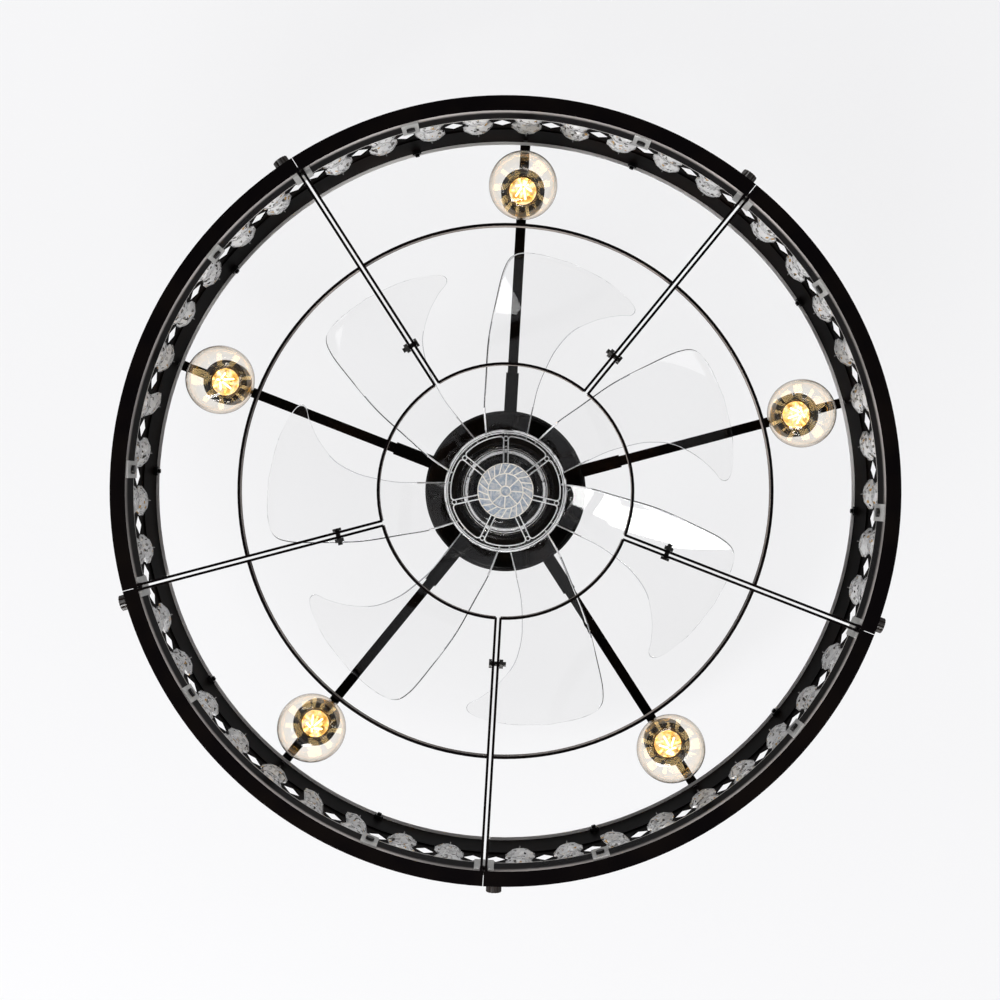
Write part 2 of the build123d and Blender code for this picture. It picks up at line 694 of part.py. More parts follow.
slab = spin(blade_lean) * loft([blade_section(station) for station in blade_station_shares])
outline_points = []
for reach, degrees in blade_outline_shares:
    angle = math.radians(90 + degrees)
    outline_points.append((reach * blade_tip * math.cos(angle), reach * blade_tip * math.sin(angle)))
outline = Spline(*outline_points) + Line(outline_points[-1], outline_points[0])
outline_low = up(hub_low - hub_height)
blade_plan = Pos(0, 0, outline_low) * extrude(make_face(outline), amount=3 * hub_height)
blade = slab & blade_plan
blade -= ring(0, hub_radius - hub_wall / 2, hub_low - hub_height, hub_low + 2 * hub_height)

# Impeller hub: clear cup with a boss, seven ribs and a ring behind its front web
hub_inner = hub_radius - hub_wall
boss_bore = shaft_radius + shaft_gap
impeller = ring(0, hub_radius, hub_low, hub_low + hub_height)
impeller = fillet(impeller.edges().group_by(Axis.Z)[0], radius=hub_wall)
impeller -= ring(0, hub_inner, hub_low + hub_wall, hub_low + hub_height + cut_over)
impeller += ring(0, hub_boss_radius, hub_low, hub_low + hub_boss_height)
ring_outer = hub_ring_radius + hub_wall / 2
ring_inner = hub_ring_radius - hub_wall / 2
impeller += ring(ring_inner, ring_outer, hub_low, hub_low + hub_wall + hub_ring_height)
rib_near = hub_boss_radius - hub_wall
rib_far = hub_inner + hub_wall / 2
rib = block(hub_rib_thickness, rib_near, rib_far, hub_low + hub_wall / 2, hub_low + hub_rib_height)
blade_angles = [360 / blade_count * number for number in range(blade_count)]
for angle in blade_angles:
    impeller += spin(angle) * rib
impeller -= ring(0, boss_bore, hub_low - cut_over, hub_low + hub_height)
pin_slot_low = pin_level - drive_pin_radius - seat_gap
pin_slot_width = 2 * (drive_pin_radius + seat_gap)
pin_slot_reach = hub_boss_radius + cut_over
pin_slot = block(pin_slot_width, -pin_slot_reach, pin_slot_reach, pin_slot_low, hub_low + hub_height)
impeller -= spin(90) * pin_slot
for angle in blade_angles:
    impeller += spin(angle) * blade
save("fan_impeller", spin(blade_turn) * impeller)

# Spinner nut: clear cap with straight ribs inside its ring and slanted ribs outside it
spinner_high = hub_low - turning_gap
spinner_low = spinner_high - spinner_height
spinner_inner = spinner_radius - spinner_wall
spinner = ring(0, spinner_radius, spinner_low, spinner_high)
spinner = fillet(spinner.edges().group_by(Axis.Z)[0], radius=spinner_wall)
spinner -= ring(0, spinner_inner, spinner_low + spinner_wall, spinner_high + cut_over)
spinner += ring(0, spinner_boss_radius, spinner_low, spinner_high)
spinner_ring_inner = spinner_ring_radius - spinner_wall / 2
spinner += ring(spinner_ring_inner, spinner_ring_inner + spinner_wall, spinner_low, spinner_high)
spinner_rib_high = spinner_high - spinner_wall
inner_rib_near = spinner_boss_radius - spinner_rib
inner_rib = block(spinner_rib, inner_rib_near, spinner_ring_radius, spinner_low, spinner_rib_high)
rib_middle = (spinner_ring_radius + spinner_inner) / 2
rib_half = (spinner_inner - spinner_ring_radius) / 2 + spinner_rib / 2
outer_rib = block(spinner_rib, -rib_half, rib_half, spinner_low, spinner_rib_high)
outer_rib = Rot(0, 0, spinner_rib_slant) * outer_rib
for number in range(spinner_inner_ribs):
    spinner += spin(360 / spinner_inner_ribs * number) * inner_rib
for number in range(spinner_outer_ribs):
    spinner += spin(360 / spinner_outer_ribs * number) * Pos(0, rib_middle, 0) * outer_rib
spinner -= ring(0, boss_bore, shaft_low - turning_gap, spinner_high + cut_over)
save("spinner_nut", spinner)

# Bulbs: blown globe with a short neck, and a screw base glued on it
globe_gap = globe_radius + turning_gap
holder_inner = holder_radius - holder_wall
rim_level = bulb_level + math.sqrt(globe_gap ** 2 - holder_inner ** 2)
neck_start = bulb_level + math.sqrt(globe_radius ** 2 - neck_radius ** 2)
neck_top = neck_start + neck_height
glass_top = neck_top + neck_radius - base_radius
inner_globe = globe_radius - glass_thickness
inner_neck = neck_radius - glass_thickness
inner_start = bulb_level + math.sqrt(inner_globe ** 2 - inner_neck ** 2)
at_lamp = Plane.XZ
outer_start = (neck_radius, up(neck_start))
outer_arc = ThreePointArc((0, up(bulb_level - globe_radius)), (globe_radius, up(bulb_level)), outer_start)
inner_end = (inner_neck, up(inner_start))
inner_arc = ThreePointArc(inner_end, (inner_globe, up(bulb_level)), (0, up(bulb_level - inner_globe)))
neck_line = Polyline(
    outer_start,
    (neck_radius, up(neck_top)),
    (base_radius, up(glass_top)),
    (base_radius - glass_thickness, up(glass_top)),
    (inner_neck, up(neck_top)),
    inner_end,
)
close_line = Line((0, up(bulb_level - inner_globe)), (0, up(bulb_level - globe_radius)))
globe_face = make_face(outer_arc + neck_line + inner_arc + close_line)
globe = Pos(0, lamp_radius, 0) * revolve(at_lamp * globe_face, axis=Axis.Z)
base_top = glass_top + base_height
tip_top = base_top + base_tip_height
base_outline = Polyline(
    (0, up(glass_top)),
    (base_radius, up(glass_top)),
    (base_radius, up(base_top)),
    (base_tip_radius, up(tip_top)),
    (0, up(tip_top)),
    close=True,
)
base = Pos(0, lamp_radius, 0) * revolve(at_lamp * make_face(base_outline), axis=Axis.Z)
for number, angle in enumerate(bay_angles, start=1):
    save("bulb_globe_" + str(number), spin(angle) * globe)
    save("bulb_base_" + str(number), spin(angle) * base)

# Lamp holders: turned cups under the arms, with a bore for the bulb's base and a nipple on top
bore_radius = base_radius + turning_gap
bore_top = tip_top + turning_gap
cup_floor = rim_level + holder_cup_depth
cone_low = rim_level + holder_height
cone_high = cone_low + holder_cone_height
collar_high = cone_high + holder_cup_depth / 2
holder_outline = Polyline(
    (holder_inner, up(rim_level)),
    (holder_radius, up(rim_level)),
    (holder_radius, up(cone_low)),
    (holder_top_radius, up(cone_high)),
    (holder_top_radius, up(collar_high)),
    (nipple_radius, up(collar_high)),
    (nipple_radius, up(arm_low)),
    (0, up(arm_low)),
    (0, up(bore_top)),
    (bore_radius, up(bore_top)),
    (bore_radius, up(cup_floor)),
    (holder_inner, up(cup_floor)),
    close=True,
)
holder = Pos(0, lamp_radius, 0) * revolve(at_lamp * make_face(holder_outline), axis=Axis.Z)
save("lamp_holders", [spin(angle) * holder for angle in bay_angles])
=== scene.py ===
import math

import bmesh
import bpy
import numpy as np
from mathutils import Matrix, Vector


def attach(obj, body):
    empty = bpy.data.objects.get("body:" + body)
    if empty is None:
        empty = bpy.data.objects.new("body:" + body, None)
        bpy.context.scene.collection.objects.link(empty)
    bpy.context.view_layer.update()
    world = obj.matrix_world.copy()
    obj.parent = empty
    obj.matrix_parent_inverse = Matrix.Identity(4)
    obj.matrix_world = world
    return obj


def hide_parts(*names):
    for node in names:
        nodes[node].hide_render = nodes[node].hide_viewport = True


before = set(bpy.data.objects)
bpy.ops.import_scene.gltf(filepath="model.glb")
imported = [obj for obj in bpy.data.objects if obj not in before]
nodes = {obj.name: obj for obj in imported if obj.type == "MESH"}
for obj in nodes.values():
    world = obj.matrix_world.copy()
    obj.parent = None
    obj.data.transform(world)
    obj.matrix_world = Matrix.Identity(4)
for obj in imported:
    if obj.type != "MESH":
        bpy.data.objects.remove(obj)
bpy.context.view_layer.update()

scene = bpy.context.scene
mm = 0.001
rim_z = -190 * mm

# The view: the camera stands on the fan's axis 1 m under the cage and looks straight up, turned
# so that the first arm leans 3.3 degrees to the right, with the axis a little off the centre.
view_turn = math.radians(3.3)
lens_px = 1584
camera_data = bpy.data.cameras.new("camera")
camera_data.sensor_width = 36
camera_data.lens = 36 * lens_px / 1000
camera_data.shift_x = -0.0055
camera_data.shift_y = -0.0090
camera_data.clip_end = 50
camera = bpy.data.objects.new("camera", camera_data)
scene.collection.objects.link(camera)
right = Vector((-math.cos(view_turn), math.sin(view_turn), 0))
upward = Vector((math.sin(view_turn), math.cos(view_turn), 0))
turned = Matrix((right, upward, Vector((0, 0, -1)))).transposed().to_4x4()
camera.matrix_world = Matrix.Translation((0, 0, rim_z - 1.0)) @ turned
scene.camera = camera
scene.view_settings.view_transform = "Standard"


def linear(hex_colour):
    """sRGB hex to linear: (c + 0.055) / 1.055 to the power 2.4, or c / 12.92 in the darkest part."""
    c = np.array([int(hex_colour[i:i + 2], 16) for i in (1, 3, 5)]) / 255
    return (*np.where(c > 0.04045, ((c + 0.055) / 1.055) ** 2.4, c / 12.92), 1.0)


def add(tree, kind, links={}, **settings):
    """Adds a node. A setting is a property or an input's value, and a link is input: (node, output)."""
    made = tree.nodes.new(kind)
    for key, value in settings.items():
        if hasattr(made, key):
            setattr(made, key, value)
        else:
            made.inputs[key.replace("_", " ")].default_value = value
    for key, (source, output) in links.items():
        tree.links.new(source.outputs[output], made.inputs[key])
    return made


# The room: a white ceiling that the fan is fixed to, seen from below only so that the fan shows
# from above too, a pale wall all round that darkens towards the floor, and three soft boxes.
world = bpy.data.worlds.new("room")
scene.world = world
world.use_nodes = True
sky = world.node_tree
sky.nodes.clear()
path = add(sky, "ShaderNodeLightPath")
ways = add(sky, "ShaderNodeTexCoord")
rising = add(sky, "ShaderNodeSeparateXYZ", {"Vector": (ways, "Generated")})
walls = add(sky, "ShaderNodeValToRGB", {"Fac": (add(sky, "ShaderNodeMapRange", {"Value": (rising, "Z")}, From_Min=-1.0, From_Max=1.0), 0)})
shades = ((0.0, "#4c4744"), (0.04, "#5c5754"), (0.12, "#9a9a9e"), (0.30, "#b8b8bc"), (0.46, "#cdcdd0"), (0.52, "#efeff0"))
while len(walls.color_ramp.elements) < len(shades):
    walls.color_ramp.elements.new(0.5)
for element, (place, hex_colour) in zip(walls.color_ramp.elements, shades):
    element.position = place
    element.color = linear(hex_colour)
lit = add(sky, "ShaderNodeBackground", {"Color": (walls, 0)}, Strength=0.9)
shown = add(sky, "ShaderNodeBackground", Color=linear("#f1f1f2"), Strength=1.0)
either = add(sky, "ShaderNodeMixShader", {0: (path, "Is Camera Ray"), 1: (lit, 0), 2: (shown, 0)})
add(sky, "ShaderNodeOutputWorld", {"Surface": (either, 0)})


def plane(name, half, z, facing):
    """Square sheet at a height, facing up (1) or down (-1)."""
    x = np.array([-1, 1, 1, -1]) * half
    y = np.array([-1, -1, 1, 1]) * half * facing
    mesh = bpy.data.meshes.new(name)
    mesh.from_pydata(np.stack([x, y, np.full(4, z)], 1).tolist(), [], [(0, 1, 2, 3)])
    made = bpy.data.objects.new(name, mesh)
    scene.collection.objects.link(made)
    return made


ceiling = plane("ceiling", 4.0, 0.6 * mm, -1)
ceiling.visible_shadow = False
paint = bpy.data.materials.new("white_emulsion_ceiling")
paint.use_nodes = True
tree = paint.node_tree
tree.nodes.clear()
matt = add(tree, "ShaderNodeBsdfDiffuse", Color=linear("#5a5a5b"))
glow = add(tree, "ShaderNodeEmission", Color=linear("#f4f4f5"), Strength=0.90)
dark = add(tree, "ShaderNodeEmission", Color=linear("#f4f4f5"), Strength=0.0)
rays = add(tree, "ShaderNodeLightPath")
mirrored = add(tree, "ShaderNodeMath", {0: (rays, "Is Glossy Ray")}, operation="MULTIPLY")
mirrored.inputs[1].default_value = 0.2
seen = add(tree, "ShaderNodeMath", {0: (rays, "Is Camera Ray"), 1: (mirrored, 0)}, operation="MAXIMUM")
seen = add(tree, "ShaderNodeMath", {0: (seen, 0), 1: (rays, "Is Transmission Ray")}, operation="MAXIMUM")
shown_glow = add(tree, "ShaderNodeMixShader", {0: (seen, 0), 1: (dark, 0), 2: (glow, 0)})
lit_paint = add(tree, "ShaderNodeAddShader", {0: (matt, 0), 1: (shown_glow, 0)})
through = add(tree, "ShaderNodeBsdfTransparent")
side = add(tree, "ShaderNodeNewGeometry")
one_sided = add(tree, "ShaderNodeMixShader", {0: (side, "Backfacing"), 1: (lit_paint, 0), 2: (through, 0)})
add(tree, "ShaderNodeOutputMaterial", {"Surface": (one_sided, 0)})
ceiling.data.materials.append(paint)


def soft_box(name, azimuth, below, distance, width, height, radiance, roll=0):
    """Lamp seen from the cage's middle at an angle round from the picture's top and one below level."""
    data = bpy.data.lights.new(name, "AREA")
    data.shape = "RECTANGLE"
    data.size, data.size_y = width, height
    data.energy = radiance * math.pi * width * height
    lamp = bpy.data.objects.new(name, data)
    a, b = math.radians(azimuth), math.radians(below)
    out = (right * math.sin(a) + upward * math.cos(a)) * math.cos(b) + Vector((0, 0, -math.sin(b)))
    facing = out.to_track_quat("Z", "Y").to_matrix().to_4x4() @ Matrix.Rotation(math.radians(roll), 4, "Z")
    lamp.matrix_world = Matrix.Translation(Vector((0, 0, -0.14)) + out * distance) @ facing
    lamp.visible_camera = False
    scene.collection.objects.link(lamp)
    return lamp


soft_box("soft_box_right", 86, 36, 1.7, 0.20, 0.26, 4)
soft_box("soft_box_upper", 345, 10, 1.9, 1.20, 0.40, 13)
soft_box("soft_box_left", 265, 10, 1.9, 0.80, 0.36, 7)
soft_box("soft_box_low_right", 85, 10, 1.9, 0.80, 0.36, 7)
soft_box("soft_box_lower", 192, 9, 1.7, 0.64, 0.44, 22)
soft_box("soft_box_lower_left", 203, 30, 1.7, 1.30, 0.30, 24, 35)
soft_box("soft_box_upper_right", 23, 45, 1.7, 0.35, 1.0, 1.5)
soft_box("soft_box_lower_right", 127, 45, 1.7, 0.35, 1.0, 1.5)
soft_box("soft_box_above", 45, -52, 2.2, 1.2, 1.2, 2)


# Black sheet steel of the cage, the bracket's cup and the arms: rolled and folded mild steel
# under a satin powder coat, which gives a fine orange peel and soft reflections. Slow brown
# patches in its colour are partly uneven tone and partly painted warm reflections.
def coated_steel(name, colour, brown_reflection_tinge, roughness, peel_mm, peel_depth_mm, gloss):
    """Powder coat: slow noise moves roughness and tint, its brown patches partly painted warm reflections, and a finer
    one lifts the surface.
    """
    material = bpy.data.materials.new(name)
    material.use_nodes = True
    tree = material.node_tree
    coat = tree.nodes["Principled BSDF"]
    coat.inputs["Specular IOR Level"].default_value = gloss
    place = add(tree, "ShaderNodeTexCoord")
    cloud = add(tree, "ShaderNodeTexNoise", {"Vector": (place, "Object")}, Scale=1 / (40 * mm), Detail=3.0)
    brown_reflection_patch = add(tree, "ShaderNodeMapRange", {"Value": (cloud, 0)}, From_Min=0.45, From_Max=0.75)
    tint = add(tree, "ShaderNodeMix", {"Factor": (brown_reflection_patch, 0)}, data_type="RGBA")
    tint.inputs[6].default_value, tint.inputs[7].default_value = linear(colour), linear(brown_reflection_tinge)
    tree.links.new(tint.outputs[2], coat.inputs["Base Color"])
    spread = add(tree, "ShaderNodeMapRange", {"Value": (cloud, 0)}, **{"To_Min": roughness - 0.05, "To_Max": roughness + 0.07})
    tree.links.new(spread.outputs[0], coat.inputs["Roughness"])
    peel = add(tree, "ShaderNodeTexNoise", {"Vector": (place, "Object")}, Scale=1 / (peel_mm * mm), Detail=2.0)
    edge = add(tree, "ShaderNodeBevel", Radius=0.35 * mm)
    edge.samples = 4
    lift = add(tree, "ShaderNodeBump", {"Height": (peel, 0), "Normal": (edge, 0)}, Strength=0.6, Distance=peel_depth_mm * mm)
    tree.links.new(lift.outputs[0], coat.inputs["Normal"])
    return material


def dress(material, *names):
    """Gives CAD nodes one material in every slot."""
    for name in names:
        for slot in nodes[name].material_slots:
            slot.material = material


numbers = range(1, 6)
cage_coat = coated_steel("satin_black_powder_coat", "#080606", "#150d09", 0.36, 1.6, 0.02, 0.008)
dress(cage_coat, "upper_bands", *[f"wall_panel_{k}" for k in numbers])
guard_coat = coated_steel("gloss_black_powder_coat", "#0a0809", "#120e0c", 0.28, 2.0, 0.015, 0.008)
dress(guard_coat, *[f"guard_sector_{k}" for k in numbers])
centre_coat = coated_steel("black_stoved_enamel", "#080706", "#1a110b", 0.22, 3.0, 0.015, 0.05)
dress(centre_coat, "canopy", "motor_housing", "motor_lower_shield", "arm_sockets", *[f"arm_{k}" for k in numbers])


def paint_highlight_strip(material, colour, radii, levels, fade_mm, unevenness):
    """Paints highlights into the coat's colour: lighter on upright or level strips, 1 inside the radii
    and levels, fading over a few mm, times a slow noise along the ring."""
    tree = material.node_tree
    coat = tree.nodes["Principled BSDF"]
    under = coat.inputs["Base Color"].links[0].from_socket
    place = add(tree, "ShaderNodeTexCoord")
    flat = add(tree, "ShaderNodeVectorMath", {0: (place, "Object")}, operation="MULTIPLY")
    flat.inputs[1].default_value = (1, 1, 0)
    radius = add(tree, "ShaderNodeVectorMath", {0: (flat, 0)}, operation="LENGTH")
    level = add(tree, "ShaderNodeSeparateXYZ", {0: (place, "Object")})
    inside = [
        add(tree, "ShaderNodeMapRange", {"Value": (radius, "Value")}, From_Min=(radii[0] - 0.1) * mm, From_Max=radii[0] * mm),
        add(tree, "ShaderNodeMapRange", {"Value": (radius, "Value")}, From_Min=(radii[1] + 0.1) * mm, From_Max=radii[1] * mm),
        add(tree, "ShaderNodeMapRange", {"Value": (level, "Z")}, From_Min=rim_z + (levels[0] - 0.2) * mm, From_Max=rim_z + levels[0] * mm),
        add(tree, "ShaderNodeMapRange", {"Value": (level, "Z")}, From_Min=rim_z + (levels[1] + fade_mm) * mm, From_Max=rim_z + levels[1] * mm, interpolation_type="SMOOTHSTEP"),
    ]
    highlight_noise = add(tree, "ShaderNodeTexNoise", {"Vector": (place, "Object")}, Scale=1 / (90 * mm), Detail=1.0)
    share = add(tree, "ShaderNodeMapRange", {"Value": (highlight_noise, 0)}, From_Min=0.35, From_Max=0.6, To_Min=1 - unevenness)
    for part in inside:
        share = add(tree, "ShaderNodeMath", {0: (share, 0), 1: (part, 0)}, operation="MULTIPLY")
    mixed = add(tree, "ShaderNodeMix", {"Factor": (share, 0)}, data_type="RGBA")
    tree.links.new(under, mixed.inputs[6])
    mixed.inputs[7].default_value = linear(colour)
    tree.links.new(mixed.outputs[2], coat.inputs["Base Color"])


# Painted highlights: the channel's lip is painted light along its foot and its top edge, and
# the band's turned-in edge above it gets a painted light line all round.
paint_highlight_strip(guard_coat, "#a8a29f", (240.2, 240.6), (0.4, 2.0), 7, 0.5)
paint_highlight_strip(guard_coat, "#e8e5e2", (240.2, 240.6), (23.2, 24.2), 0.2, 0.3)
# Painted highlight lines on the inner side faces of the guard's two middle arcs.
paint_highlight_strip(guard_coat, "#8d847e", (79.6, 80.0), (1.5, 6.5), 1, 0.6)
paint_highlight_strip(guard_coat, "#8d847e", (167.5, 167.9), (1.5, 6.5), 1, 0.6)
paint_highlight_strip(cage_coat, "#f2efec", (245.0, 247.6), (122.8, 124.2), 0.2, 0.3)


# Zinc-plated clips and screws: pressed strip and turned screws under bright zinc, which gives a
# cool grey with small differences from piece to piece and fine drawing lines.
def plated_steel(name, colour, roughness, grain_mm, metal=1.0):
    """Bright zinc: stretched noise for the drawing lines, and slow noise for the plating's tone."""
    material = bpy.data.materials.new(name)
    material.use_nodes = True
    tree = material.node_tree
    zinc = tree.nodes["Principled BSDF"]
    zinc.inputs["Metallic"].default_value = metal
    place = add(tree, "ShaderNodeTexCoord")
    tone = add(tree, "ShaderNodeTexNoise", {"Vector": (place, "Object")}, Scale=1 / (9 * mm), Detail=2.0)
    colours = add(tree, "ShaderNodeMix", {"Factor": (tone, 0)}, data_type="RGBA")
    colours.inputs[6].default_value = linear(colour)
    colours.inputs[7].default_value = tuple(0.72 * c for c in linear(colour)[:3]) + (1.0,)
    tree.links.new(colours.outputs[2], zinc.inputs["Base Color"])
    drawn = add(tree, "ShaderNodeTexNoise", {"Vector": (place, "Object")}, Scale=1 / (grain_mm * mm), Detail=4.0)
    spread = add(tree, "ShaderNodeMapRange", {"Value": (drawn, 0)}, **{"To_Min": roughness - 0.06, "To_Max": roughness + 0.1})
    tree.links.new(spread.outputs[0], zinc.inputs["Roughness"])
    edge = add(tree, "ShaderNodeBevel", Radius=0.3 * mm)
    edge.samples = 4
    tree.links.new(edge.outputs[0], zinc.inputs["Normal"])
    return material


clip_zinc = plated_steel("bright_zinc_strip", "#d6d5d2", 0.28, 0.6, 0.45)
dress(clip_zinc, "ring_clips", "seam_clips")
screw_zinc = plated_steel("black_zinc_screws", "#3a3938", 0.3, 0.5)
dress(screw_zinc, "band_screws", "clip_screws", "guard_bolts", "arm_screws", "canopy_screws", "motor_bolts")
wire_nickel = plated_steel("nickel_wire", "#d8d6d2", 0.2, 0.4)
dress(wire_nickel, "crystal_pins", "motor_shaft", "drive_pin", "upper_bearing", "lower_bearing")
galvanised = plated_steel("galvanised_bracket", "#b9bcbe", 0.38, 3.0)
dress(galvanised, "ceiling_bracket")
cast = plated_steel("cast_aluminium", "#a9abac", 0.5, 1.2)
dress(cast, "motor_upper_shield")
laminated = plated_steel("laminated_motor_steel", "#77787a", 0.45, 0.5)
dress(laminated, "stator_core", "rotor_core")
enamelled = plated_steel("enamelled_copper", "#b8683a", 0.35, 0.7)
dress(enamelled, "stator_windings")


# Moulded plastic pieces: fine spark-eroded texture on black or white thermoplastic.
def moulded(name, colour, roughness, spark_mm):
    """Moulded skin: fine noise as bump, at the spark texture's grain."""
    material = bpy.data.materials.new(name)
    material.use_nodes = True
    tree = material.node_tree
    skin = tree.nodes["Principled BSDF"]
    skin.inputs["Base Color"].default_value = linear(colour)
    skin.inputs["Roughness"].default_value = roughness
    skin.inputs["IOR"].default_value = 1.53
    place = add(tree, "ShaderNodeTexCoord")
    grain = add(tree, "ShaderNodeTexNoise", {"Vector": (place, "Object")}, Scale=1 / (spark_mm * mm), Detail=2.0)
    edge = add(tree, "ShaderNodeBevel", Radius=0.3 * mm)
    edge.samples = 4
    lift = add(tree, "ShaderNodeBump", {"Height": (grain, 0), "Normal": (edge, 0)}, Strength=0.5, Distance=0.02 * mm)
    tree.links.new(lift.outputs[0], skin.inputs["Normal"])
    return material


holder_black = moulded("brown_phenolic", "#1c130d", 0.3, 0.8)
dress(holder_black, "lamp_holders", *[f"thumb_screw_{k}" for k in numbers])
box_white = moulded("white_abs", "#dedcd6", 0.5, 0.9)
dress(box_white, "receiver_box", "terminal_block")


# Clear pieces: moulded styrene for the impeller and the spinner nut, cut glass for the crystals.
def clear(name, colour, ior, roughness):
    """Clear solid: light passes through both faces and takes the colour once at each."""
    material = bpy.data.materials.new(name)
    material.use_nodes = True
    solid = material.node_tree.nodes["Principled BSDF"]
    solid.inputs["Base Color"].default_value = linear(colour)
    solid.inputs["Transmission Weight"].default_value = 1.0
    solid.inputs["IOR"].default_value = ior
    solid.inputs["Roughness"].default_value = roughness
    return material


styrene = clear("clear_styrene", "#ffffff", 1.38, 0.01)
# Painted highlights: mould edges and marks take this white, mostly diffuse styrene, which looks lit wherever it stands.
highlight_edge_styrene = clear("painted_highlight_styrene_edge", "#ffffff", 1.45, 0.35)
highlight_edge_styrene.node_tree.nodes["Principled BSDF"].inputs["Transmission Weight"].default_value = 0.15
frosted = clear("frosted_styrene", "#eef5fd", 1.5, 0.10)
frosted.node_tree.nodes["Principled BSDF"].inputs["Transmission Weight"].default_value = 0.4
tree = frosted.node_tree
flow = add(tree, "ShaderNodeTexNoise", {"Vector": (add(tree, "ShaderNodeTexCoord"), "Object")}, Scale=1 / (4 * mm), Detail=3.0, Distortion=1.5)
streak = add(tree, "ShaderNodeMapRange", {"Value": (flow, 0)}, From_Min=0.42, From_Max=0.62)
milk = add(tree, "ShaderNodeMix", {"Factor": (streak, 0)}, data_type="RGBA")
milk.inputs[6].default_value, milk.inputs[7].default_value = linear("#bccbdd"), linear("#ffffff")
tree.links.new(milk.outputs[2], tree.nodes["Principled BSDF"].inputs["Base Color"])
# Painted shade: the blades' outer edges take this grey-tinted clear styrene, which darkens what shows through them as
# thin lines.
shaded_edge = clear("shaded_styrene_edge", "#a6a8ac", 1.45, 0.10)
milky = clear("milky_styrene_ribs", "#fffaf0", 1.5, 0.4)
milky.node_tree.nodes["Principled BSDF"].inputs["Transmission Weight"].default_value = 0.15
crystal = clear("cut_crystal", "#ffffff", 1.62, 0.0)
crystal.node_tree.nodes["Principled BSDF"].inputs["Transmission Weight"].default_value = 0.4
# Painted reflections: cells of 1.8 mm, each a flat pyramid, are painted white, grey, dark and now and then warm, for
# the flashes of the polished cuts
tree = crystal.node_tree
place = add(tree, "ShaderNodeTexCoord")
cuts = add(tree, "ShaderNodeTexVoronoi", {"Vector": (place, "Object")}, distance="CHEBYCHEV", Scale=1 / (1.8 * mm))
pick = add(tree, "ShaderNodeSeparateColor", {"Color": (cuts, "Color")})
painted_sparkle = add(tree, "ShaderNodeValToRGB", {"Fac": (pick, 0)})
painted_sparkle.color_ramp.interpolation = "CONSTANT"
painted_sparkle.color_ramp.elements[0].color = linear("#ffffff")
painted_sparkle.color_ramp.elements[1].position, painted_sparkle.color_ramp.elements[1].color = 0.965, linear("#d8ac6c")
for start, tone in ((0.70, "#cfcfce"), (0.84, "#8a8784"), (0.92, "#4a4643")):
    painted_sparkle.color_ramp.elements.new(start).color = linear(tone)
tree.links.new(painted_sparkle.outputs[0], tree.nodes["Principled BSDF"].inputs["Base Color"])
tilt = add(tree, "ShaderNodeBump", {"Height": (cuts, "Distance")}, Strength=0.8, Distance=0.6 * mm)
tree.links.new(tilt.outputs[0], tree.nodes["Principled BSDF"].inputs["Normal"])


# Globe bulbs: blown amber-tinted glass on a rolled brass screw base, with a glass stem inside
# that carries four yellow-coated filament sticks.
def turned_grid(profile, steps, centre=(0, 0)):
    """Surface of revolution: point (r, z) of the profile at angle a is (r cos a, r sin a, z)."""
    angle = np.linspace(0, 2 * np.pi, steps, endpoint=False)
    radius, height = np.asarray(profile, float).T
    x = centre[0] + np.outer(radius, np.cos(angle))
    y = centre[1] + np.outer(radius, np.sin(angle))
    z = np.repeat(height[:, None], steps, axis=1)
    return np.stack([x, y, z], axis=-1)


def grid_quads(rows, columns, wrap_rows=False, wrap_columns=True, first=0):
    """Corner numbers of the quads between neighbours of a grid, row by row."""
    row, column = np.meshgrid(np.arange(rows - (not wrap_rows)), np.arange(columns - (not wrap_columns)), indexing="ij")
    below, beside = (row + 1) % rows, (column + 1) % columns
    quads = np.stack([row * columns + column, row * columns + beside, below * columns + beside, below * columns + column], -1)
    return quads.reshape(-1, 4) + first


def piece(name, parts, material, body, smooth=35, edgings=()):
    """Puts (points in mm from the cage's underside, faces) parts into one mesh on a body. A third
    item in a part gives each face's material: 0 the main one, and from 1 the edgings in turn."""
    points, faces, first, edged = [], [], 0, []
    for grid, corners, *which in parts:
        grid = np.asarray(grid, float).reshape(-1, 3)
        points.append(grid)
        edged += list(which[0]) if which else [0] * len(corners)
        faces += [[int(c) + first for c in face] for face in corners]
        first += len(grid)
    points = np.concatenate(points) * mm + np.array([0, 0, rim_z])
    mesh = bpy.data.meshes.new(name)
    mesh.from_pydata(points.tolist(), [], faces)
    mesh.materials.append(material)
    for edging in edgings:
        mesh.materials.append(edging)
    mesh.polygons.foreach_set("material_index", [int(e) for e in edged])
    shape = bmesh.new()
    shape.from_mesh(mesh)
    bmesh.ops.remove_doubles(shape, verts=shape.verts, dist=0.004 * mm)
    bmesh.ops.dissolve_degenerate(shape, edges=shape.edges, dist=0.002 * mm)
    bmesh.ops.recalc_face_normals(shape, faces=shape.faces)
    shape.to_mesh(mesh)
    shape.free()
    mesh.shade_smooth()
    mesh.set_sharp_from_angle(angle=math.radians(smooth))
    made = bpy.data.objects.new(name, mesh)
    scene.collection.objects.link(made)
    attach(made, body)
    return made


def placed(grid, degrees):
    """Turns points about the fan's axis: x cos a - y sin a, x sin a + y cos a."""
    a = math.radians(degrees)
    turn = np.array([[math.cos(a), math.sin(a), 0], [-math.sin(a), math.cos(a), 0], [0, 0, 1]])
    return np.asarray(grid, float) @ turn


